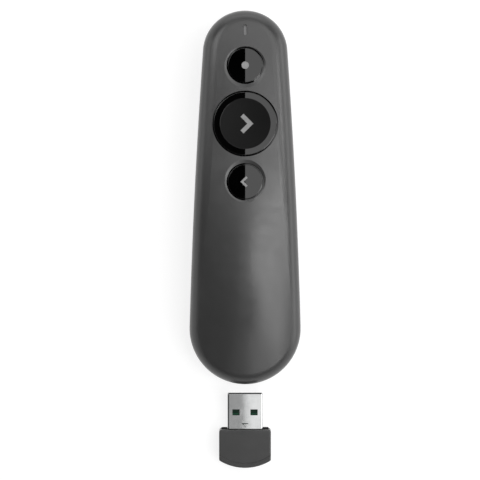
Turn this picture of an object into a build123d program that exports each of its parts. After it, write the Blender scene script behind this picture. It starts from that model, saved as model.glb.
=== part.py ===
from build123d import *
import math
import os

# Wireless presentation clicker with its USB receiver. Millimetres, +Z up, +Y towards the head.
# The origin is on the table plane, under the middle of the casing.

# Casing seen from above: two end arcs joined by long bowed sides
body_length = 123.5
tail_radius = 18.5
head_radius = 13.9
side_radius = 2600.0

# Casing seen from the side: a level key deck that falls away to both ends
body_height = 24.6
crest_from_head = 39.3
deck_radius = 1500.0
nose_from_head = 15.8
nose_radius = 55.0
stern_from_tail = 36.0
stern_radius = 110.0
keel_from_head = 33.3
keel_radius = 180.0

# Casing in cross section: nearly flat across the keys, arched across the palm end
head_crown = 260.0
tail_crown = 34.0
palm_from_tail = 28.2
keys_from_head = 52.2
top_round = 5.5
bottom_round = 6.0

wall = 1.8
rib = 1.2
parting_z = 12.5
lip_depth = 1.2
lip_thickness = 0.8
seat_gap = 0.1

# How far the shaping blocks and the cutting tools run past the faces they make
form_margin = 4.0
past = 1.0

# Keys, placed by their distance from the head's end
pointer_from_head = 18.8
next_from_head = 37.75
back_from_head = 56.6
small_hole_radius = 6.08
next_hole_radius = 10.7
key_gap = 0.45
well_width = 0.9
well_depth = 0.32
small_key_drop = 0.15
next_key_rise = 0.2
key_travel = 0.4
key_wall = 1.2
key_edge = 0.2
flange_width = 0.9
flange_thickness = 0.8
small_flange_clearance = 0.5
next_flange_clearance = 1.4
dish_radius = 8.2
dish_depth = 0.4
stem_radius = 1.6
icon_depth = 0.6
dot_radius = 1.2
next_arrow_height = 6.4
next_arrow_stroke = 1.4
next_arrow_tip = 2.65
back_arrow_height = 3.6
back_arrow_stroke = 0.75
back_arrow_tip = 1.55

# Indicator
indicator_from_head = 7.2
indicator_width = 1.15
indicator_length = 3.45
indicator_recess = 0.45
light_pipe_flange = 0.7
led_height = 0.8
led_length = 1.6

# Main board and its switches
board_z = 14.0
board_thickness = 1.0
board_inset = 2.4
board_rear_from_tail = 33.7
switch_size = 6.0
switch_height = 3.5
plunger_radius = 1.75
plunger_height = 1.0
plunger_seat = 0.9
running_gap = 0.1
switch_corner = 0.5
switch_foot_width = 1.4
switch_foot_length = 0.7
switch_foot_height = 0.4
radio_from_head = 71.2
radio_size = 5.0
radio_height = 0.9
crystal_x = 6.0
crystal_width = 2.5
crystal_length = 3.2
crystal_height = 0.8
capacitor_from_head = 79.2
capacitor_pitch = 3.0
capacitor_width = 0.9
capacitor_length = 1.6
capacitor_height = 0.8
capacitor_count = 7
driver_from_head = 22.2
driver_x = 8.0
driver_width = 1.3
driver_length = 2.9
driver_height = 1.1

# Screws
column_x = 10.3
head_column_from_head = 26.7
middle_column_from_head = 64.2
tail_column_from_tail = 29.4
screw_radius = 1.0
screw_bite = 4.5
screw_end_gap = 0.5
screw_head_radius = 1.9
screw_head_height = 1.4
screw_slot = 0.5
screw_slot_depth = 0.8
screw_seat_z = 7.0
screw_clearance = 0.03
boss_radius = 2.4

# AAA cell, its bay and the door
cell_from_tail = 62.2
cell_radius = 5.25
cell_length = 44.5
cell_lift = 0.6
nub_radius = 1.9
nub_length = 1.0
sleeve_thickness = 0.12
sleeve_margin = 0.4
bay_gap = 0.35
contact_thickness = 0.4
contact_size = 8.6
contact_tab = 2.0
spring_length = 4.5
spring_wire = 0.6
spring_turns = 3.5
spring_radius = 3.9
spring_cone = 16.0
door_half_width = 7.4
door_thickness = 1.6
door_gap = 0.2
door_corner = 2.0
door_tail_overlap = 1.8
hook_room = 3.3
hook_width = 3.0
hook_x = 4.4
hook_reach = 1.6
hook_thickness = 0.85
latch_half_width = 3.0
latch_inset = 0.6
latch_height = 2.6
hook_root = 1.4
scoop_radius = 12.0
scoop_width = 9.0
scoop_depth = 0.8
scoop_from_tail = 6.5
ridge_count = 3
ridge_pitch = 2.0
ridge_width = 0.6
ridge_height = 0.35

# Laser pointer module
laser_z = 10.0
barrel_radius = 3.0
barrel_length = 12.0
barrel_from_head = 6.2
saddle_from_end = 2.0
lens_radius = 2.3
lens_thickness = 1.5
diode_radius = 2.7
diode_thickness = 1.2
diode_can_radius = 1.8
diode_can_length = 2.4
window_radius = 2.0
window_thickness = 0.8
window_recess = 0.45
aperture_radius = 1.5
lead_radius = 0.25
lead_reach = 2.5

# Receiver, lying on the table behind the tail
plug_width = 12.0
plug_height = 4.5
plug_length = 11.85
plug_wall = 0.3
plug_window_width = 2.45
plug_window_length = 2.0
plug_window_x = 3.05
plug_window_from_tip = 6.15
plug_corner = 0.6
plug_root = 2.5
lance_width = 2.2
lance_length = 1.45
lance_depth = 0.2
lance_slit = 0.3
lance_from_shoulder = 0.4
tongue_width = 10.6
tongue_thickness = 1.8
tongue_recess = 0.6
pad_width = 1.0
pad_length = 7.0
pad_pitch = 2.2
pad_thickness = 0.1
pad_count = 4
pad_from_tip = 1.0
receiver_width = 17.5
receiver_length = 12.9
receiver_height = 7.5
receiver_arc = 16.5
receiver_round = 0.8
receiver_tail_round = 2.4
receiver_end_wall = 3.0
insert_width = 16.1
insert_height = 6.1
insert_depth = 1.5
insert_corner = 0.8
grip_from_end = 1.55
grip_width = 0.3
grip_depth = 0.2
receiver_stand_off = 4.15
receiver_inset = 0.9
receiver_chip_size = 4.0
receiver_chip_height = 0.8
receiver_chip_setback = 3.2
receiver_crystal_x = 3.6
receiver_crystal_width = 1.6
receiver_crystal_length = 2.0
receiver_crystal_height = 0.6
dock_gap = 0.25

head_end = body_length / 2
tail_end = -body_length / 2
head_y = head_end - head_radius
tail_y = tail_end + tail_radius
crest_y = head_end - crest_from_head
nose_start = head_end - nose_from_head
stern_start = tail_end + stern_from_tail
keel_start = head_end - keel_from_head
palm_y = tail_end + palm_from_tail
keys_end_y = head_end - keys_from_head
pointer_y = head_end - pointer_from_head
next_y = head_end - next_from_head
back_y = head_end - back_from_head
indicator_y = head_end - indicator_from_head
board_rear = tail_end + board_rear_from_tail
board_top = board_z + board_thickness
cell_z = door_thickness + cell_lift + cell_radius
bay_half_width = cell_radius + bay_gap
cell_y = tail_end + cell_from_tail
cell_front_y = cell_y + cell_length / 2
cell_rear_y = cell_y - cell_length / 2
bay_front_y = cell_front_y + contact_thickness
bay_rear_y = cell_rear_y - spring_length - contact_thickness
door_head_y = bay_front_y + rib + hook_room
door_tail_y = bay_rear_y - rib - door_tail_overlap
barrel_front_y = head_end - barrel_from_head
barrel_rear_y = barrel_front_y - barrel_length
receiver_tip_y = tail_end - receiver_stand_off
receiver_shoulder_y = receiver_tip_y - plug_length
receiver_end_y = receiver_shoulder_y - receiver_length
dock_travel = tail_end + receiver_inset - receiver_end_y
beyond = body_length
column_rows = (
    head_end - head_column_from_head,
    head_end - middle_column_from_head,
    tail_end + tail_column_from_tail,
)
screw_columns = [(side * column_x, y) for y in column_rows for side in (-1, 1)]


# ---- The casing's form, shared by both shells ----

def plan_face(inset=0.0):
    # Outline from above, with its sides tangent to both end arcs
    head_reach = side_radius - head_radius
    tail_reach = side_radius - tail_radius
    span = head_y - tail_y
    along = (span**2 - head_reach**2 + tail_reach**2) / (2 * span)
    bow = Vector(-math.sqrt(tail_reach**2 - along**2), tail_y + along)

    def on_side(point):
        return bow + (point - bow).normalized() * (side_radius - inset)

    def mirrored(point):
        return Vector(-point.X, point.Y)

    head_side = on_side(Vector(0, head_y))
    tail_side = on_side(Vector(0, tail_y))
    middle = on_side((head_side + tail_side) * 0.5)
    head_tip = Vector(0, head_end - inset)
    tail_tip = Vector(0, tail_end + inset)
    return make_face([
        ThreePointArc(head_side, head_tip, mirrored(head_side)),
        ThreePointArc(mirrored(head_side), mirrored(middle), mirrored(tail_side)),
        ThreePointArc(mirrored(tail_side), tail_tip, tail_side),
        ThreePointArc(tail_side, middle, head_side),
    ])


def arc_height(y, centre, radius):
    # Height and slope of an arc in the side view
    run = y - centre.X
    rise = math.sqrt(radius**2 - run**2)
    return centre.Y + rise, -run / rise


def deck_height(y):
    # Three tangent arcs along the top: nose, key deck and stern
    deck_centre = Vector(crest_y, body_height - deck_radius)
    for start, radius, beyond in (
        (nose_start, nose_radius, y > nose_start),
        (stern_start, stern_radius, y < stern_start),
    ):
        if beyond:
            joint = Vector(start, arc_height(start, deck_centre, deck_radius)[0])
            centre = joint - (joint - deck_centre).normalized() * radius
            return arc_height(y, centre, radius)
    return arc_height(y, deck_centre, deck_radius)


def crown_radius(y):
    # Curvature blends smoothly from the palm end to the key end
    share = min(1.0, max(0.0, (y - palm_y) / (keys_end_y - palm_y)))
    share = share * share * (3 - 2 * share)
    return 1 / ((1 - share) / tail_crown + share / head_crown)


def deck_block(inset=0.0, stations=13):
    # Everything under the crowned top surface
    half = tail_radius + form_margin / 2
    sections = []
    for step in range(stations):
        y = (step / (stations - 1) - 0.5) * (body_length + 2 * form_margin)
        height, slope = deck_height(y)
        top = height - inset * math.sqrt(1 + slope**2)
        radius = crown_radius(y) - inset
        edge = top - radius + math.sqrt(radius**2 - half**2)
        arch = ThreePointArc((-half, y, edge), (0, y, top), (half, y, edge))
        base = Polyline((half, y, edge), (half, y, -past), (-half, y, -past), (-half, y, edge))
        sections.append(make_face([arch] + list(base.edges())))
    return loft(sections)


def keel_block(inset=0.0):
    # Everything above the underside: flat, then curving up under the head
    end = body_length / 2 + form_margin
    radius = keel_radius - inset

    def rise(y):
        return keel_radius - math.sqrt(radius**2 - (y - keel_start)**2)

    middle = (keel_start + end) / 2
    flat = Line((0, -end, inset), (0, keel_start, inset))
    curve = ThreePointArc((0, keel_start, inset), (0, middle, rise(middle)), (0, end, rise(end)))
    top = body_height + form_margin
    back = Polyline((0, end, rise(end)), (0, end, top), (0, -end, top), (0, -end, inset))
    side = make_face([flat, curve] + list(back.edges()))
    return extrude(side, amount=tail_radius + form_margin, dir=(1, 0, 0), both=True)


def casing_form(inset=0.0):
    solid = extrude(plan_face(inset), amount=body_height + form_margin) & deck_block(inset) & keel_block(inset)

    def rim(is_edge):
        lying = solid.edges().filter_by(Axis.Z, reverse=True).filter_by(Axis.X, reverse=True)
        return [edge for edge in lying if is_edge(edge)]

    solid = fillet(rim(lambda edge: edge.center().Z > body_height / 2), top_round - inset)
    return fillet(rim(lambda edge: edge.center().Z < body_height / 4), bottom_round - inset)


# ---- Small helpers ----

def box_between(low, high):
    size = [b - a for a, b in zip(low, high)]
    middle = [(a + b) / 2 for a, b in zip(low, high)]
    return Pos(*middle) * Box(*size)


def upright(radius, x, y, low, high):
    return Pos(x, y, (low + high) / 2) * Cylinder(radius, high - low)


def along_y(radius, x, z, rear, front):
    return Pos(x, (rear + front) / 2, z) * Rot(90, 0, 0) * Cylinder(radius, front - rear)


def turned(points, x, y):
    # Solid of revolution about the vertical axis at x, y from (radius, height) corners
    corners = [(radius, 0, height) for radius, height in points]
    profile = make_face(Polyline(*corners, close=True).edges())
    return Pos(x, y, 0) * revolve(profile, Axis.Z)


def pill(width, length, x, y, low, high):
    return Pos(x, y, low) * extrude(SlotOverall(length, width, rotation=90), amount=high - low)


def save(shape, node):
    shape.label = node
    export_step(shape, f"parts/{node}.step")


# ---- Casing shells ----

def key_well(y):
    # A straight hole whose mouth opens into a shallow cone
    deck = deck_height(y)[0]
    mouth = small_hole_radius + 2 * well_width
    return turned([
        (0, parting_z), (small_hole_radius, parting_z), (small_hole_radius, deck - well_depth),
        (mouth, deck + well_depth), (mouth, beyond), (0, beyond),
    ], 0, y)


def plan_ring(outer_inset, inner_inset, low, high):
    # Upright wall along the casing's outline
    outside, inside = (extrude(plan_face(inset), amount=high - low) for inset in (outer_inset, inner_inset))
    return Pos(0, 0, low) * (outside - inside)


def make_top_shell(outer, core, inner):
    shell = (outer - inner) & box_between((-beyond, -beyond, parting_z), (beyond, beyond, beyond))
    lip_low = parting_z - lip_depth
    lip_inset = wall + seat_gap
    lip = plan_ring(lip_inset, lip_inset + lip_thickness, lip_low, parting_z + lip_depth)
    root = plan_ring(wall / 2, lip_inset + lip_thickness, parting_z, parting_z + lip_depth)
    feet = [(x, y, board_top if y > board_rear else board_z) for x, y in screw_columns]
    reliefs = [upright(boss_radius + 2 * seat_gap, x, y, lip_low - past, foot) for x, y, foot in feet]
    bosses = [upright(boss_radius, x, y, foot, beyond) for x, y, foot in feet]
    cuts = [upright(screw_radius, x, y, foot - past, foot + screw_bite + screw_end_gap) for x, y, foot in feet]
    cuts += [key_well(pointer_y), upright(next_hole_radius, 0, next_y, parting_z, beyond), key_well(back_y)]
    cuts.append(pill(indicator_width, indicator_length, 0, indicator_y, board_top, beyond))
    bosses = Part() + bosses & core
    return (shell + [lip, root & core] - reliefs - cuts) + (bosses - cuts)


def contact_places():
    # Middles of the two contact plates along the bay
    return [bay_front_y - contact_thickness / 2, bay_rear_y + contact_thickness / 2]


def bay_solid():
    # Walls and roof of the cell bay, with the ledge that the door closes on
    walls = box_between((-bay_half_width - rib, bay_rear_y - rib, door_thickness + seat_gap),
                        (bay_half_width + rib, bay_front_y + rib, board_z))
    ledge = box_between((-door_half_width - rib, door_tail_y - rib, door_thickness + seat_gap),
                        (door_half_width + rib, bay_front_y + rib, door_thickness + seat_gap + rib))
    return walls + ledge


def bay_cuts():
    ceiling = cell_z + cell_radius + seat_gap
    space = box_between((-bay_half_width, bay_rear_y, -past), (bay_half_width, bay_front_y, ceiling))
    half = door_half_width + door_gap
    door_recess = box_between((-half, door_tail_y - door_gap, -past),
                              (half, door_head_y + door_gap, door_thickness + seat_gap))
    door_recess = fillet(door_recess.edges().filter_by(Axis.Z), door_corner + door_gap)
    hook_slot = box_between((-half, bay_front_y + rib, 0), (half, door_head_y + door_gap, wall + past))
    slots = []
    for y in contact_places():
        reach = contact_thickness / 2 + seat_gap
        half_tab = contact_tab / 2 + seat_gap
        slots.append(box_between((-half_tab, y - reach, cell_z), (half_tab, y + reach, board_z + past)))
    latch_front = door_tail_y + latch_inset + rib + door_gap
    latch_half = latch_half_width + door_gap
    latch = box_between((-latch_half, door_tail_y, door_thickness), (latch_half, latch_front, board_z / 2))
    return [space, door_recess, hook_slot, latch] + slots


def dock_solid():
    # Block that carries the receiver's garage in the tail
    half = receiver_width / 2 + dock_gap + rib
    front = receiver_tip_y + dock_travel + dock_gap + rib
    return box_between((-half, -beyond, 0), (half, front, receiver_height + dock_gap + rib))


def dock_cuts():
    notch_half = receiver_width / 2 + dock_gap
    shoulder = receiver_shoulder_y + dock_travel + dock_gap
    notch = box_between((-notch_half, -beyond, -past), (notch_half, shoulder, receiver_height + dock_gap))
    half = plug_width / 2 + dock_gap
    low = (receiver_height - plug_height) / 2 - dock_gap
    high = low + plug_height + 2 * dock_gap
    pocket = box_between((-half, shoulder - past, low), (half, receiver_tip_y + dock_travel + dock_gap, high))
    return [notch, pocket]


def laser_saddles():
    # Two ribs that carry the barrel
    ribs = None
    for y in (barrel_rear_y + saddle_from_end, barrel_front_y - saddle_from_end - rib):
        plate = box_between((-barrel_radius - rib, y, 0), (barrel_radius + rib, y + rib, laser_z))
        ribs = plate if ribs is None else ribs + plate
    return ribs - along_y(barrel_radius + seat_gap / 2, 0, laser_z, barrel_rear_y, barrel_front_y)


def make_bottom_shell(outer, core, inner):
    shell = (outer - inner) & box_between((-beyond, -beyond, -beyond), (beyond, beyond, parting_z))
    inside = [bay_solid(), dock_solid(), laser_saddles()]
    cuts = bay_cuts() + dock_cuts()
    for x, y in screw_columns:
        inside.append(upright(boss_radius, x, y, 0, board_z))
        inside.append(upright(screw_head_radius + seat_gap + rib, x, y, 0, screw_seat_z + rib))
        cuts.append(upright(screw_head_radius + 2 * seat_gap, x, y, -past, screw_seat_z))
        cuts.append(upright(screw_radius + seat_gap, x, y, screw_seat_z - past, board_z + past))
    seat = head_end - window_recess - window_thickness
    cuts.append(along_y(window_radius + seat_gap / 2, 0, laser_z, seat, head_end + past))
    cuts.append(along_y(aperture_radius, 0, laser_z, barrel_front_y, head_end))
    inside = Part() + inside & core
    return (shell - cuts) + (inside - cuts)


# ---- Keys ----

def key_cap(y, hole_radius, top, flange_clearance, dish=0.0):
    # Hollow cap with a retaining flange under the deck and a stem down to its switch
    radius = hole_radius - key_gap
    deck = deck_height(y)[0]
    flange_top = deck - wall - flange_clearance
    flange_low = flange_top - flange_thickness
    flange = radius + flange_width
    roof = top - dish - key_wall
    stem_low = board_top + switch_height + plunger_height
    cap = turned([
        (0, stem_low), (stem_radius, stem_low), (stem_radius, roof), (radius - key_wall, roof),
        (radius - key_wall, flange_low), (flange, flange_low), (flange, flange_top),
        (radius, flange_top), (radius, top), (0, top),
    ], 0, y)
    rim = cap.edges().filter_by(GeomType.CIRCLE).group_by(Axis.Z)[-1]
    cap = fillet(rim, key_edge)
    if dish:
        ball = (dish_radius**2 + dish**2) / (2 * dish)
        cap -= Pos(0, y, top - dish + ball) * Sphere(ball)
    return cap


def arrow_prism(height, stroke, tip, turn, y, low, high):
    # Two square-ended strokes that meet at a right angle
    arm = height / math.sqrt(2)
    corners = [(0, 0), (arm, 0), (arm, stroke), (stroke, stroke), (stroke, arm), (0, arm)]
    face = make_face(Polyline(*corners, close=True).edges())
    return Pos(tip, y, low) * Rot(0, 0, turn) * extrude(face, amount=high - low)


def make_pointer_key():
    top = deck_height(pointer_y)[0] - small_key_drop
    cap = key_cap(pointer_y, small_hole_radius, top, small_flange_clearance)
    dot = upright(dot_radius, 0, pointer_y, top - icon_depth, top)
    return cap - dot, dot


def make_next_key():
    top = deck_height(next_y)[0] + next_key_rise
    cap = key_cap(next_y, next_hole_radius, top, next_flange_clearance, dish_depth)
    prism = arrow_prism(next_arrow_height, next_arrow_stroke, next_arrow_tip, 135, next_y,
                        top - dish_depth - icon_depth, top + past)
    return cap - prism, cap & prism


def make_back_key():
    top = deck_height(back_y)[0] - small_key_drop
    cap = key_cap(back_y, small_hole_radius, top, small_flange_clearance)
    prism = arrow_prism(back_arrow_height, back_arrow_stroke, -back_arrow_tip, -45, back_y,
                        top - icon_depth, top)
    return cap - prism, prism


# ---- Board ----

def make_board():
    board = Pos(0, 0, board_z) * extrude(plan_face(board_inset), amount=board_thickness)
    board &= box_between((-beyond, board_rear, 0), (beyond, beyond, beyond))
    for x, y in screw_columns:
        board -= upright(screw_radius + seat_gap, x, y, board_z - past, board_top + past)
    return board


def chip(x, y, width, length, height, low=None):
    low = board_top if low is None else low
    return box_between((x - width / 2, y - length / 2, low), (x + width / 2, y + length / 2, low + height))


def make_switch(y):
    top = board_top + switch_height
    base = chip(0, y, switch_size, switch_size, switch_height)
    base = chamfer(base.edges().filter_by(Axis.Z), switch_corner)
    for side in (-1, 1):
        for end in (-1, 1):
            base += chip(side * switch_size / 2, y + end * switch_size / 3,
                         switch_foot_width, switch_foot_length, switch_foot_height)
    floor = top - plunger_seat - key_travel - running_gap
    return base - upright(plunger_radius + running_gap, 0, y, floor, top + past)


def make_plunger(y):
    top = board_top + switch_height
    return upright(plunger_radius, 0, y, top - plunger_seat, top + plunger_height)


def make_light_pipe():
    low = board_top + led_height + 2 * seat_gap
    shank = pill(indicator_width - seat_gap, indicator_length - seat_gap, 0, indicator_y, low, beyond)
    spread = 2 * light_pipe_flange
    flange = pill(indicator_width + spread, indicator_length + spread, 0, indicator_y, low, beyond)
    return (shank & deck_block(indicator_recess)) + (flange & deck_block(wall + seat_gap))


def make_capacitors():
    y = head_end - capacitor_from_head
    size = (capacitor_width, capacitor_length, capacitor_height)
    places = [(i - (capacitor_count - 1) / 2) * capacitor_pitch for i in range(capacitor_count)]
    return Compound(children=[chip(x, y, *size) for x in places])


# ---- Power ----

def make_cell():
    shoulder = cell_front_y - nub_length
    can = along_y(cell_radius - sleeve_thickness, 0, cell_z, cell_rear_y, shoulder)
    return can + along_y(nub_radius, 0, cell_z, shoulder, cell_front_y)


def make_sleeve():
    rear = cell_rear_y + sleeve_margin
    front = cell_front_y - nub_length - sleeve_margin
    tube = along_y(cell_radius, 0, cell_z, rear, front)
    return tube - along_y(cell_radius - sleeve_thickness, 0, cell_z, rear, front)


def make_contact(y):
    half = contact_size / 2
    depth = contact_thickness / 2
    plate = box_between((-half, y - depth, cell_z - half), (half, y + depth, cell_z + half))
    tab = box_between((-contact_tab / 2, y - depth, cell_z), (contact_tab / 2, y + depth, board_z))
    return plate + tab


def make_spring():
    # Conical coil, widest at its contact plate
    height = spring_length - spring_wire - 2 * seat_gap
    coil = Helix(height / spring_turns, height, spring_radius, cone_angle=-spring_cone)
    coil = Pos(0, bay_rear_y + contact_thickness + spring_wire / 2 + seat_gap, cell_z) * Rot(-90, 0, 0) * coil
    section = Plane(origin=coil @ 0, z_dir=coil % 0) * Circle(spring_wire / 2)
    return sweep(section, path=coil)


def make_battery_door():
    plate = box_between((-door_half_width, door_tail_y, 0), (door_half_width, door_head_y, door_thickness))
    plate = fillet(plate.edges().filter_by(Axis.Z), door_corner)
    scoop_y = door_tail_y + scoop_from_tail
    place = Pos(0, scoop_y, scoop_depth - scoop_radius) * Rot(0, 90, 0)
    scoop = place * Cylinder(scoop_radius, scoop_width)
    crests = place * Cylinder(scoop_radius - ridge_height, beyond)
    for i in range(ridge_count):
        y = scoop_y + (i - (ridge_count - 1) / 2) * ridge_pitch
        scoop -= chip(0, y, scoop_width, ridge_width, scoop_depth, 0) - crests
    plate -= scoop
    half = bay_half_width - bay_gap
    hollow = along_y(cell_radius + seat_gap, 0, cell_z, cell_rear_y, cell_front_y)
    door = plate
    for y in (cell_y - cell_length / 3, cell_y - rib / 2, cell_y + cell_length / 3 - rib):
        door += box_between((-half, y, door_thickness), (half, y + rib, cell_z - cell_radius / 2)) - hollow
    hook_low = wall + seat_gap
    root_y = door_head_y - hook_root
    for x in (-hook_x, hook_x):
        low, high = x - hook_width / 2, x + hook_width / 2
        hook_top = hook_low + hook_thickness
        door += box_between((low, root_y, door_thickness), (high, door_head_y - door_gap, hook_top))
        door += box_between((low, root_y, hook_low), (high, door_head_y + hook_reach, hook_top))
    latch_y = door_tail_y + latch_inset
    door += box_between((-latch_half_width, latch_y, door_thickness),
                        (latch_half_width, latch_y + rib, door_thickness + latch_height))
    return door


def make_shell_screws():
    screws = []
    for x, y in screw_columns:
        foot = board_top if y > board_rear else board_z
        head = upright(screw_head_radius, x, y, screw_seat_z - screw_head_height, screw_seat_z)
        low = screw_seat_z - screw_head_height
        arm = screw_head_radius * 1.2
        cross = chip(x, y, screw_slot, arm, screw_slot_depth, low)
        cross += chip(x, y, arm, screw_slot, screw_slot_depth, low)
        shank = upright(screw_radius - screw_clearance, x, y, screw_seat_z, foot + screw_bite)
        screws.append(head - cross + shank)
    return Compound(children=screws)


# ---- Laser pointer module ----

def laser_rod(radius, rear, front):
    return along_y(radius, 0, laser_z, rear, front)


def lens_seat_y():
    return barrel_front_y - 2 * lens_thickness


def make_barrel():
    diode_seat = barrel_rear_y + diode_thickness
    barrel = laser_rod(barrel_radius, barrel_rear_y, barrel_front_y)
    barrel -= laser_rod(diode_can_radius + seat_gap, barrel_rear_y, barrel_front_y)
    barrel -= laser_rod(lens_radius + seat_gap / 2, lens_seat_y(), barrel_front_y)
    return barrel - laser_rod(diode_radius + seat_gap / 2, barrel_rear_y, diode_seat)


def make_lens():
    return laser_rod(lens_radius, lens_seat_y(), lens_seat_y() + lens_thickness)


def make_diode():
    seat = barrel_rear_y + diode_thickness
    can = laser_rod(diode_can_radius, seat, seat + diode_can_length)
    return laser_rod(diode_radius, barrel_rear_y, seat) + can


def make_leads():
    bend = barrel_rear_y - lead_reach
    leads = []
    for x in (-diode_can_radius / 2, diode_can_radius / 2):
        corners = [(x, barrel_rear_y, laser_z), (x, bend, laser_z), (x, bend, board_z)]
        path = FilletPolyline(*corners, radius=4 * lead_radius)
        section = Plane(origin=path @ 0, z_dir=path % 0) * Circle(lead_radius)
        leads.append(sweep(section, path=path))
    return Compound(children=leads)


def make_window():
    front = head_end - window_recess
    return laser_rod(window_radius, front - window_thickness, front)


# ---- Receiver ----

def rounded_bar(width, height, corner, rear, front):
    # Lies along Y in the middle of the receiver's height
    middle = receiver_height / 2
    bar = box_between((-width / 2, rear, middle - height / 2), (width / 2, front, middle + height / 2))
    return fillet(bar.edges().filter_by(Axis.Y), corner)


def plug_bar(inset, rear, front):
    return rounded_bar(plug_width - 2 * inset, plug_height - 2 * inset, plug_corner - inset, rear, front)


def insert_bar(gap, front):
    rear = receiver_shoulder_y - insert_depth
    return rounded_bar(insert_width + 2 * gap, insert_height + 2 * gap, insert_corner + gap, rear, front)


def lance_cut():
    # Small stamped triangle that slopes down to a slit through the shell's wall
    half = lance_width / 2
    corners = Polyline((0, 0), (half, lance_length), (-half, lance_length), close=True)
    wedge = extrude(make_face(corners.edges()), amount=past)
    slope = math.degrees(math.atan(lance_depth / lance_length))
    top = (receiver_height + plug_height) / 2
    root = receiver_shoulder_y + lance_from_shoulder
    slit = chip(0, root + lance_length, lance_width, lance_slit, 2 * plug_wall, top - 2 * plug_wall)
    return Pos(0, root, top) * Rot(-slope, 0, 0) * wedge + slit


def make_receiver_shield():
    rear = receiver_shoulder_y - plug_root
    shield = plug_bar(0, rear, receiver_tip_y) - plug_bar(plug_wall, rear - past, receiver_tip_y + past)
    shield -= lance_cut()
    window_y = receiver_tip_y - plug_window_from_tip
    for x in (-plug_window_x, plug_window_x):
        shield -= chip(x, window_y, plug_window_width, plug_window_length, receiver_height + 2 * past, -past)
    return shield


def make_receiver_housing():
    half = receiver_width / 2
    side_end = receiver_end_y + receiver_arc - math.sqrt(receiver_arc**2 - half**2)
    front = receiver_shoulder_y
    outline = Polyline((half, side_end), (half, front), (-half, front), (-half, side_end))
    end = ThreePointArc((-half, side_end), (0, receiver_end_y), (half, side_end))
    housing = extrude(make_face(list(outline.edges()) + [end]), amount=receiver_height)
    housing = fillet(housing.edges().filter_by(Axis.Z), receiver_round)
    tail_rim = housing.edges().group_by(Axis.Z)[0].sort_by(Axis.Y)[0]
    housing = fillet(tail_rim, receiver_tail_round)
    housing = fillet(housing.faces().sort_by(Axis.Z)[-1].edges(), receiver_round / 2)
    arc_middle = receiver_end_y + receiver_arc
    line = receiver_arc - grip_from_end
    ring = Circle(line + grip_width / 2) - Circle(line - grip_width / 2)
    housing -= Pos(0, arc_middle, receiver_height - grip_depth) * extrude(ring, amount=past)
    housing -= insert_bar(seat_gap / 2, front + past)
    return housing - plug_bar(-seat_gap / 2, receiver_end_y + receiver_end_wall, front + past)


def make_receiver_insert():
    # Black plate that closes the housing's front round the plug
    front = receiver_shoulder_y
    return insert_bar(0, front) - plug_bar(-seat_gap / 2, front - 2 * insert_depth, front + past)


def tongue_top():
    return receiver_height / 2 + plug_height / 2 - plug_wall - seat_gap


def make_receiver_board():
    half = tongue_width / 2
    top = tongue_top()
    rear = receiver_end_y + receiver_end_wall + seat_gap
    return box_between((-half, rear, top - tongue_thickness), (half, receiver_tip_y - tongue_recess, top))


def make_receiver_contacts():
    low = tongue_top() - tongue_thickness - pad_thickness
    middle = receiver_tip_y - tongue_recess - pad_from_tip - pad_length / 2
    places = [(i - (pad_count - 1) / 2) * pad_pitch for i in range(pad_count)]
    pads = [chip(x, middle, pad_width, pad_length, pad_thickness, low) for x in places]
    return Compound(children=pads)


def make_receiver_chip():
    y = receiver_shoulder_y - plug_root - receiver_chip_setback
    low = tongue_top() - tongue_thickness - receiver_chip_height
    return chip(0, y, receiver_chip_size, receiver_chip_size, receiver_chip_height, low)


def make_receiver_crystal():
    y = receiver_shoulder_y - plug_root - receiver_chip_setback
    low = tongue_top() - tongue_thickness - receiver_crystal_height
    size = (receiver_crystal_width, receiver_crystal_length, receiver_crystal_height)
    return chip(receiver_crystal_x, y, *size, low)


def build():
    outer, core, inner = (casing_form(inset) for inset in (0.0, wall / 2, wall))
    save(make_top_shell(outer, core, inner), "top_shell")
    save(make_bottom_shell(outer, core, inner), "bottom_shell")
    keys = {
        "pointer": (make_pointer_key, pointer_y),
        "next": (make_next_key, next_y),
        "back": (make_back_key, back_y),
    }
    for name, (make_key, y) in keys.items():
        cap, icon = make_key()
        save(cap, f"{name}_button")
        save(icon, f"{name}_icon")
        save(make_switch(y), f"{name}_switch")
        save(make_plunger(y), f"{name}_switch_plunger")
    save(make_light_pipe(), "indicator_light_pipe")
    save(chip(0, indicator_y, led_length / 2, led_length, led_height), "indicator_led")
    save(make_board(), "circuit_board")
    radio_y = head_end - radio_from_head
    save(chip(0, radio_y, radio_size, radio_size, radio_height), "radio_chip")
    save(chip(crystal_x, radio_y, crystal_width, crystal_length, crystal_height), "crystal")
    driver_y = head_end - driver_from_head
    save(chip(-driver_x, driver_y, driver_width, driver_length, driver_height), "laser_driver")
    save(make_capacitors(), "board_capacitors")
    save(make_battery_door(), "battery_door")
    save(make_cell(), "battery")
    save(make_sleeve(), "battery_sleeve")
    save(make_contact(contact_places()[0]), "positive_contact")
    save(make_contact(contact_places()[1]), "negative_contact")
    save(make_spring(), "battery_spring")
    save(make_shell_screws(), "shell_screws")
    save(make_barrel(), "laser_barrel")
    save(make_lens(), "laser_lens")
    save(make_diode(), "laser_diode")
    save(make_leads(), "laser_leads")
    save(make_window(), "laser_window")
    save(make_receiver_housing(), "receiver_housing")
    save(make_receiver_insert(), "receiver_insert")
    save(make_receiver_shield(), "receiver_shield")
    save(make_receiver_board(), "receiver_board")
    save(make_receiver_contacts(), "receiver_contacts")
    save(make_receiver_chip(), "receiver_chip")
    save(make_receiver_crystal(), "receiver_crystal")


os.makedirs("parts", exist_ok=True)
build()
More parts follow.
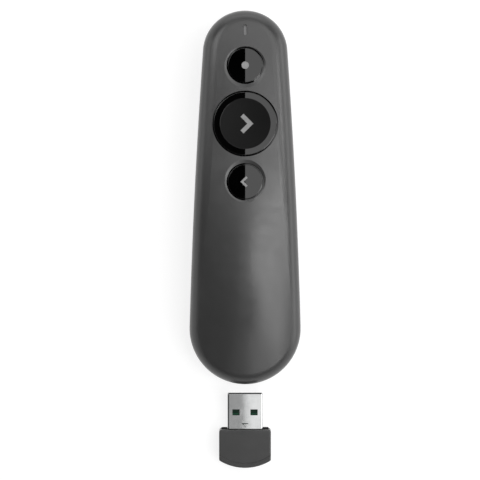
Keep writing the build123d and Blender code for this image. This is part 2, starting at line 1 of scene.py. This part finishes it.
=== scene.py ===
# Finishes, light and camera for a wireless presentation clicker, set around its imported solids.
# Places are in metres in the frame of the solids: the head points along Y and Z is up.
import math
import bpy
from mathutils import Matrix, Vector


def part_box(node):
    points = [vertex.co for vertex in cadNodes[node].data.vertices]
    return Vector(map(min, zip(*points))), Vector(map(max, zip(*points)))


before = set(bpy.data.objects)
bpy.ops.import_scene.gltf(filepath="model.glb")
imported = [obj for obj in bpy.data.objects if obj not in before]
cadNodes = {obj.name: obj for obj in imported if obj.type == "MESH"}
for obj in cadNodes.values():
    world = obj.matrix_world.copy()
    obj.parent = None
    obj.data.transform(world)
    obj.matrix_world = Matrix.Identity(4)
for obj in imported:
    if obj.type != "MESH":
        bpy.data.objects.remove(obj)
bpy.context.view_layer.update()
mm = 0.001


# the sRGB curve, from a hex colour to linear light
def toLinear(hexText):
    levels = [int(hexText[i:i + 2], 16) / 255 for i in (1, 3, 5)]
    return [v / 12.92 if v <= 0.04045 else ((v + 0.055) / 1.055) ** 2.4 for v in levels] + [1.0]


# names with a capital, and numbers, are sockets of the node; the rest are its own settings
def addNode(tree, kind, settings=None, links=None):
    node = tree.nodes.new(kind)
    for name, value in (settings or {}).items():
        if isinstance(name, int) or name[0].isupper():
            node.inputs[name].default_value = value
        else:
            setattr(node, name, value)
    for name, source in (links or {}).items():
        tree.links.new(source, node.inputs[name])
    return node


def startMaterial(name):
    material = bpy.data.materials.new(name)
    material.use_nodes = True
    tree = material.node_tree
    tree.nodes.clear()
    return material, tree


# noise of about one grain per size, size in mm along x, y and z
def noiseAt(tree, place, size):
    scale = [1 / (s * mm) for s in size]
    mapped = addNode(tree, "ShaderNodeMapping", {"Scale": scale}, {"Vector": place})
    return addNode(tree, "ShaderNodeTexNoise", {"Scale": 1.0, "Detail": 2.0, "Roughness": 0.5},
                   {"Vector": mapped.outputs[0]}).outputs["Fac"]


# most of the noise lies between 0.35 and 0.65, so that is what runs from low to high
def spread(tree, value, low, high, start=0.35, end=0.65):
    return addNode(tree, "ShaderNodeMapRange",
                   {"From Min": start, "From Max": end, "To Min": low, "To Max": high},
                   {"Value": value}).outputs["Result"]


# for colours a mix node uses its sockets 6 and 7, and its output 2
def blendColours(tree, factor, first, second):
    mix = addNode(tree, "ShaderNodeMix", {"data_type": "RGBA", 6: toLinear(first), 7: toLinear(second)},
                  {0: factor})
    return mix.outputs[2]


glossPatch = (3, 3, 3)  # gloss comes and goes in patches of this size in mm


# a finish from one dictionary: cloudy colour, uneven gloss and a fine relief
# cloud and grain are sizes in mm along x, y and z, and depth is the relief's height in mm
# colour and roughness, where they are given, are patterns that replace the plain ones, and coat is
# the pattern of a lacquer
def surface(name, look, colour=None, roughness=None, coat=None):
    material, tree = startMaterial(name)
    place = addNode(tree, "ShaderNodeTexCoord").outputs["Object"]
    if colour:
        baseColour = colour(tree, place)
    else:
        cloud = spread(tree, noiseAt(tree, place, look["cloud"]), 0, 1)
        baseColour = blendColours(tree, cloud, *look["colours"])
    if roughness:
        gloss = roughness(tree, place)
    else:
        gloss = spread(tree, noiseAt(tree, place, glossPatch), *look["roughness"])
    grain = noiseAt(tree, place, look["grain"])
    relief = addNode(tree, "ShaderNodeBump", {"Strength": 1.0, "Distance": look["depth"] * mm},
                     {"Height": grain}).outputs[0]
    shader = addNode(tree, "ShaderNodeBsdfPrincipled", look["sockets"],
                     {"Base Color": baseColour, "Roughness": gloss, "Normal": relief})
    if coat:
        tree.links.new(coat(tree, place), shader.inputs["Coat Weight"])
    addNode(tree, "ShaderNodeOutputMaterial", {}, {"Surface": shader.outputs[0]})
    return material


# every slot of a piece takes the material, and a piece without a slot gets one
def dress(material, *names):
    for name in names:
        mesh = cadNodes[name].data
        if not mesh.materials:
            mesh.materials.append(material)
        for i in range(len(mesh.materials)):
            mesh.materials[i] = material


# casing: charcoal ABS from a spark-eroded mould, an even satin that spreads a lamp into a broad band
# its grain is about 0.05 mm and drawn at 0.3 mm so that it shows
topCasing = {"colours": ("#353535", "#393939"), "cloud": (12, 18, 12), "grain": (0.3, 0.3, 0.3),
             "depth": 0.005, "roughness": (0.29, 0.33), "sockets": {"IOR": 1.54}}
dress(surface("satinMouldedAbs", topCasing), "top_shell", "receiver_housing")

# underside: the same ABS from a coarser mould, so dull that it shows hardly any highlight
bottomCasing = {"colours": ("#333333", "#383838"), "cloud": (10, 16, 10), "grain": (0.4, 0.4, 0.4),
                "depth": 0.012, "roughness": (0.50, 0.58), "sockets": {"IOR": 1.54}}
dress(surface("mattMouldedAbs", bottomCasing), "bottom_shell", "battery_door")

# small keys: black ABS from a polished mould, so their flat tops mirror what is overhead
keyGloss = {"colours": ("#010101", "#020202"), "cloud": (6, 6, 6), "grain": (2.5, 2.5, 2.5),
            "depth": 0.00005, "roughness": (0.004, 0.008), "sockets": {"IOR": 1.54}}
dress(surface("polishedMouldedAbs", keyGloss), "pointer_button", "back_button")

# forward key: the dish is grained for grip and dull, the ring around it is polished and lacquered
# the dish's grain is too fine to draw and is in its roughness; roughness and lacquer give dish, ring
forwardKey = {"colours": ("#030303", "#040404"), "cloud": (6, 6, 6), "grain": (2.5, 2.5, 2.5),
              "depth": 0.00005, "roughness": (0.45, 0.006), "lacquer": (0.0, 1.0),
              "dishRadius": 8.2, "softEdge": 0.1,
              "sockets": {"IOR": 1.54, "Specular IOR Level": 0.10, "Coat Roughness": 0.006, "Coat IOR": 1.47}}
keyLow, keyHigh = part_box("next_button")
keyCentre = (keyLow + keyHigh) / 2


# one value on the dish and another on the ring, by the distance from the key's middle
def dishAndRing(tree, place, pair):
    apart = addNode(tree, "ShaderNodeSeparateXYZ", {}, {"Vector": place}).outputs
    flat = addNode(tree, "ShaderNodeCombineXYZ", {}, {"X": apart["X"], "Y": apart["Y"]}).outputs[0]
    middle = (keyCentre.x, keyCentre.y, 0)
    reach = addNode(tree, "ShaderNodeVectorMath", {"operation": "DISTANCE", 1: middle},
                    {0: flat}).outputs["Value"]
    edge = forwardKey["dishRadius"] * mm
    soft = forwardKey["softEdge"] * mm
    return spread(tree, reach, pair[0], pair[1], edge - soft, edge + soft)


def forwardRoughness(tree, place):
    return dishAndRing(tree, place, forwardKey["roughness"])


def forwardLacquer(tree, place):
    return dishAndRing(tree, place, forwardKey["lacquer"])


dress(surface("grainedAndLacqueredAbs", forwardKey, roughness=forwardRoughness, coat=forwardLacquer),
      "next_button")

# icons: grey second shot of ABS, flush in the black, even and without glints
iconGrey = {"colours": ("#787878", "#808080"), "cloud": (2, 2, 2), "grain": (0.2, 0.2, 0.2),
            "depth": 0.003, "roughness": (0.38, 0.45), "sockets": {"IOR": 1.54}}
dress(surface("secondShotAbs", iconGrey), "pointer_icon", "next_icon", "back_icon")
print("casing and keys finished")

# the receiver's front: black filled nylon round the plug, dull, with next to no reflection; its near-black is
# painted shade, standing in for the shade that falls on the housing's front face
insertBlackAsPaintedShade = {"colours": ("#050505", "#070707"), "cloud": (2, 2, 2), "grain": (0.1, 0.1, 0.1),
              "depth": 0.004, "roughness": (0.8, 0.9), "sockets": {"IOR": 1.53, "Specular IOR Level": 0.05}}
dress(surface("filledNylonInsertPaintedShade", insertBlackAsPaintedShade), "receiver_insert")

# indicator: frosted polycarbonate, milky grey while it is unlit
pipeLook = {"colours": ("#626262", "#6a6a6a"), "cloud": (1, 1, 1), "grain": (0.15, 0.15, 0.15),
            "depth": 0.004, "roughness": (0.4, 0.5), "sockets": {"IOR": 1.58}}
dress(surface("frostedPolycarbonate", pipeLook), "indicator_light_pipe")

# plug shell: tinned steel strip, rolled along its length before it was folded, a slightly blurred mirror
# its roll lines are drawn 0.12 mm apart so that they show
plugSteel = {"colours": ("#b4b5b5", "#c1c2c2"), "cloud": (4, 4, 4), "grain": (0.12, 4.0, 0.12),
             "depth": 0.0003, "roughness": (0.035, 0.06), "sockets": {"Metallic": 1.0}}
dress(surface("rolledTinnedSteel", plugSteel), "receiver_shield")

# screws and crystal cans: zinc plated steel, a plain grey shine
plainSteel = {"colours": ("#a9aaab", "#b6b7b8"), "cloud": (2, 2, 2), "grain": (0.2, 0.2, 0.2),
              "depth": 0.002, "roughness": (0.24, 0.32), "sockets": {"Metallic": 1.0}}
dress(surface("zincPlatedSteel", plainSteel), "shell_screws", "crystal", "receiver_crystal")

# springs and contacts: bright nickel over spring steel, a little warmer, with fine lines along it
nickel = {"colours": ("#c3bfb6", "#cdc9c0"), "cloud": (3, 3, 3), "grain": (0.1, 2.0, 0.1),
          "depth": 0.0015, "roughness": (0.18, 0.26), "sockets": {"Metallic": 1.0}}
dress(surface("nickelPlatedSpringSteel", nickel), "positive_contact", "negative_contact", "battery_spring")

# the cell's can: nickelled steel, deep drawn, with faint streaks along its length
canLook = {"colours": ("#b4b3af", "#c0bfbb"), "cloud": (3, 3, 3), "grain": (0.15, 3.0, 0.15),
           "depth": 0.002, "roughness": (0.26, 0.34), "sockets": {"Metallic": 1.0}}
dress(surface("drawnNickelledCan", canLook), "battery")

# laser barrel: brass turned on a lathe, with rings across its axis
brass = {"colours": ("#c69c4c", "#d2aa5c"), "cloud": (3, 3, 3), "grain": (3.0, 0.12, 3.0),
         "depth": 0.002, "roughness": (0.22, 0.30), "sockets": {"Metallic": 1.0}}
dress(surface("turnedBrass", brass), "laser_barrel")

# contact pads, leads and the diode's header: gold flash over copper, a soft warm yellow
goldLook = {"colours": ("#d3ab62", "#dcb670"), "cloud": (1, 1, 1), "grain": (0.2, 0.2, 0.2),
            "depth": 0.0015, "roughness": (0.22, 0.30), "sockets": {"Metallic": 1.0}}
dress(surface("goldFlashedCopper", goldLook), "laser_diode", "laser_leads", "receiver_contacts")

# switches: glass-filled nylon, dull with faint fibres
nylon = {"colours": ("#1b1b1c", "#232324"), "cloud": (1, 1, 1), "grain": (0.08, 0.6, 0.08),
         "depth": 0.004, "roughness": (0.45, 0.58), "sockets": {"IOR": 1.53}}
dress(surface("glassFilledNylon", nylon), "pointer_switch", "next_switch", "back_switch",
      "pointer_switch_plunger", "next_switch_plunger", "back_switch_plunger")

# chips: moulded epoxy compound, dull black
epoxy = {"colours": ("#161617", "#1c1c1d"), "cloud": (1, 1, 1), "grain": (0.08, 0.08, 0.08),
         "depth": 0.004, "roughness": (0.5, 0.6), "sockets": {"IOR": 1.55}}
dress(surface("mouldedEpoxyCompound", epoxy), "radio_chip", "laser_driver", "receiver_chip")

# capacitors: sintered ceramic, tan and nearly matt
ceramic = {"colours": ("#8f7b62", "#a28c70"), "cloud": (0.5, 0.5, 0.5), "grain": (0.1, 0.1, 0.1),
           "depth": 0.003, "roughness": (0.4, 0.5), "sockets": {"IOR": 1.7}}
dress(surface("sinteredCeramic", ceramic), "board_capacitors")

# indicator LED: epoxy cast over its white cup, pale and glossy
led = {"colours": ("#dfe0d6", "#e8e9e0"), "cloud": (0.5, 0.5, 0.5), "grain": (0.3, 0.3, 0.3),
       "depth": 0.001, "roughness": (0.12, 0.18), "sockets": {"IOR": 1.5}}
dress(surface("castClearEpoxy", led), "indicator_led")

# film sleeve of the cell: plain shrunk PVC, smooth and glossy with a faint waviness
sleeveLook = {"colours": ("#26272a", "#2c2d30"), "cloud": (5, 5, 5), "grain": (1.5, 1.5, 1.5),
              "depth": 0.004, "roughness": (0.16, 0.24), "sockets": {"IOR": 1.53}}
dress(surface("shrunkPvcFilm", sleeveLook), "battery_sleeve")

# boards: green solder mask, a little lighter where it lies over a copper track; the mask's green is partly
# its own dark green and partly painted shade, darkened to the shaded tone seen inside the plug shell
# tracks run in rows with short cross tracks between them, sizes in mm
board = {"maskDarkenedToShade": "#042014", "track": "#0b3a26", "rowGap": 2.2, "crossGap": 8.36, "trackWidth": 0.44,
         "trackBlur": 0.1, "grain": (0.25, 0.25, 0.25), "depth": 0.002, "roughness": (0.34, 0.44),
         "sockets": {"IOR": 1.52, "Specular IOR Level": 0.15}}


def trackColour(tree, place):
    unit = 2 * board["rowGap"]  # one step of the pattern is two rows
    track = addNode(tree, "ShaderNodeTexBrick",
                    {"Scale": 1 / (unit * mm), "Mortar Size": board["trackWidth"] / 2 / unit,
                     "Mortar Smooth": board["trackBlur"], "Brick Width": board["crossGap"] / unit,
                     "Row Height": board["rowGap"] / unit}, {"Vector": place}).outputs["Fac"]
    return blendColours(tree, track, board["maskDarkenedToShade"], board["track"])


dress(surface("greenSolderMaskPaintedShade", board, colour=trackColour), "circuit_board", "receiver_board")

# optics: clear acrylic lens, and the nose window dyed dark red so that only the beam passes
lensLook = {"colours": ("#eef2f3", "#f2f5f6"), "cloud": (9, 9, 9), "grain": (1, 1, 1),
            "depth": 0.0002, "roughness": (0.02, 0.04),
            "sockets": {"IOR": 1.49, "Transmission Weight": 1.0}}
dress(surface("polishedAcrylic", lensLook), "laser_lens")
windowLook = {"colours": ("#3a0d0d", "#441010"), "cloud": (9, 9, 9), "grain": (1, 1, 1),
              "depth": 0.0003, "roughness": (0.03, 0.06),
              "sockets": {"IOR": 1.49, "Transmission Weight": 0.75}}
dress(surface("dyedAcrylic", windowLook), "laser_window")
print("indicator, receiver and inner pieces finished")

# pale floor: plain matt paper that shows white to the eye, metal and glass, and keeps the shadow
floorLook = {"paper": "#8c8c8c", "lift": 0.80, "size": 8.0}
bpy.ops.object.select_all(action="DESELECT")
bpy.ops.mesh.primitive_plane_add(size=floorLook["size"], location=(0, 0, 0))
floor = bpy.context.object
floor.name = "floor"
mattPaper, tree = startMaterial("mattPaper")
ray = addNode(tree, "ShaderNodeLightPath").outputs
seen = ray["Is Camera Ray"]
for kind in ("Is Glossy Ray", "Is Transmission Ray"):
    seen = addNode(tree, "ShaderNodeMath", {"operation": "MAXIMUM"}, {0: seen, 1: ray[kind]}).outputs[0]
lift = addNode(tree, "ShaderNodeMath", {"operation": "MULTIPLY", 1: floorLook["lift"]},
               {0: seen}).outputs[0]
paper = addNode(tree, "ShaderNodeBsdfDiffuse", {"Color": toLinear(floorLook["paper"])}).outputs[0]
glow = addNode(tree, "ShaderNodeEmission", {}, {"Strength": lift}).outputs[0]
both = addNode(tree, "ShaderNodeAddShader", {}, {0: paper, 1: glow}).outputs[0]
addNode(tree, "ShaderNodeOutputMaterial", {}, {"Surface": both})
floor.data.materials.append(mattPaper)

# backdrop: a low round wall of the same paper at the floor's edge, seen in views from the side
wallLook = {"height": 1.0, "inset": 0.05, "facets": 96}
bpy.ops.object.select_all(action="DESELECT")
bpy.ops.mesh.primitive_cylinder_add(vertices=wallLook["facets"], depth=wallLook["height"],
                                    radius=floorLook["size"] / 2 - wallLook["inset"],
                                    end_fill_type="NOTHING", location=(0, 0, wallLook["height"] / 2))
backdrop = bpy.context.object
backdrop.name = "backdrop"
backdrop.data.materials.append(mattPaper)
print("floor and backdrop set")


# a soft light, where glow is how bright its face looks and 1 is white
def softPanel(name, look):
    bpy.ops.object.select_all(action="DESELECT")
    bpy.ops.object.light_add(type="AREA", location=look["place"])
    lamp = bpy.context.object
    lamp.name = name
    lamp.data.shape = "RECTANGLE"
    lamp.data.size, lamp.data.size_y = look["size"]
    lamp.data.energy = look["glow"] * math.pi * look["size"][0] * look["size"][1]
    return lamp


# panels that face down at one height and lie side by side
# edges are left, right, near and far
panelHeight = 0.60
overhead = {
    # the polished keys mirror this strip right of their middles, and the dark beside it on the left
    "keyStrip": {"edges": (0.0023, 0.034, 0.0, 0.17), "glow": 1.86},
    # a box over the palm's right: bright at its core, dimmer around it
    "palmBoxCore": {"edges": (0.082, 0.16, -0.06, 0.01), "glow": 18.0},
    "palmBoxRight": {"edges": (0.16, 0.30, -0.06, 0.01), "glow": 10.0},
    "palmBoxHead": {"edges": (0.050, 0.13, 0.01, 0.085), "glow": 6.0},
    "palmBoxTail": {"edges": (0.20, 0.75, -0.17, -0.06), "glow": 5.3},
    "palmTail": {"edges": (0.18, 0.75, -0.36, -0.17), "glow": 3.4},
    # the plug mirrors these two
    "plugLeft": {"edges": (-0.026, 0.0020, -0.19, -0.11), "glow": 0.58},
    "plugRight": {"edges": (0.0020, 0.034, -0.19, -0.11), "glow": 1.38},
    # beyond the tail, for the receiver's housing
    "receiverLeft": {"edges": (-0.17, -0.022, -0.65, -0.36), "glow": 0.5},
    "receiverNear": {"edges": (0.034, 0.40, -0.65, -0.36), "glow": 1.8},
    "receiverFar": {"edges": (0.40, 0.75, -0.65, -0.36), "glow": 3.6},
    # over the keys and the head
    "keysRight": {"edges": (0.034, 0.40, 0.085, 0.17), "glow": 1.2},
    "keysFarRight": {"edges": (0.40, 0.75, 0.085, 0.17), "glow": 9.0},
    "headMiddle": {"edges": (-0.022, 0.034, 0.20, 0.50), "glow": 2.4},
    "headRight": {"edges": (0.034, 0.40, 0.17, 0.62), "glow": 2.2},
    "headFarRight": {"edges": (0.40, 1.00, 0.17, 0.62), "glow": 1.7},
    "headLeft": {"edges": (-0.17, -0.022, 0.17, 0.34), "glow": 0.5},
    "headFarLeft": {"edges": (-0.50, -0.17, 0.17, 0.62), "glow": 3.4},
    "outerLeft": {"edges": (-1.00, -0.50, 0.17, 0.62), "glow": 1.9},
    "beyondNose": {"edges": (-0.30, 0.30, 0.62, 1.00), "glow": 0.5},
}
for name, look in overhead.items():
    left, right, near, far = look["edges"]
    place = ((left + right) / 2, (near + far) / 2, panelHeight)
    softPanel(name, {"place": place, "size": (right - left, far - near), "glow": look["glow"]})

# low panels that stand around and face the clicker, for its side walls
around = {
    "headRightSide": {"place": (0.85, 0.30, 0.22), "size": (0.5, 0.4), "glow": 2.1},
    "tailRightSide": {"place": (0.85, -0.20, 0.22), "size": (0.5, 0.4), "glow": 1.9},
    "headLeftSide": {"place": (-0.85, 0.30, 0.22), "size": (0.5, 0.4), "glow": 1.0},
    "tailLeftSide": {"place": (-0.85, -0.20, 0.22), "size": (0.5, 0.4), "glow": 0.3},
    "beyondHead": {"place": (0, 0.95, 0.25), "size": (0.9, 0.4), "glow": 1.2},
}
for name, look in around.items():
    lamp = softPanel(name, look)
    lamp.rotation_euler = (-Vector(look["place"])).to_track_quat("-Z", "Y").to_euler()

# the room past the panels and the paper is close to black
room = {"grey": 0.05, "strength": 0.05}
world = bpy.data.worlds.new("studio")
bpy.context.scene.world = world
world.use_nodes = True
background = world.node_tree.nodes["Background"].inputs
background["Color"].default_value = (room["grey"], room["grey"], room["grey"], 1)
background["Strength"].default_value = room["strength"]
bpy.context.scene.view_settings.view_transform = "Standard"
print("lights set:", len(overhead) + len(around), "panels")

# straight down from 450 mm with a long lens, lens and film width in mm
cameraLook = {"place": (-0.0017, -0.01375, 0.450), "lens": 98.44, "filmWidth": 36, "clipStart": 0.01}
bpy.ops.object.camera_add(location=cameraLook["place"], rotation=(0, 0, 0))
camera = bpy.context.object
camera.data.sensor_width = cameraLook["filmWidth"]
camera.data.lens = cameraLook["lens"]
camera.data.clip_start = cameraLook["clipStart"]
bpy.context.scene.camera = camera
print("camera set")
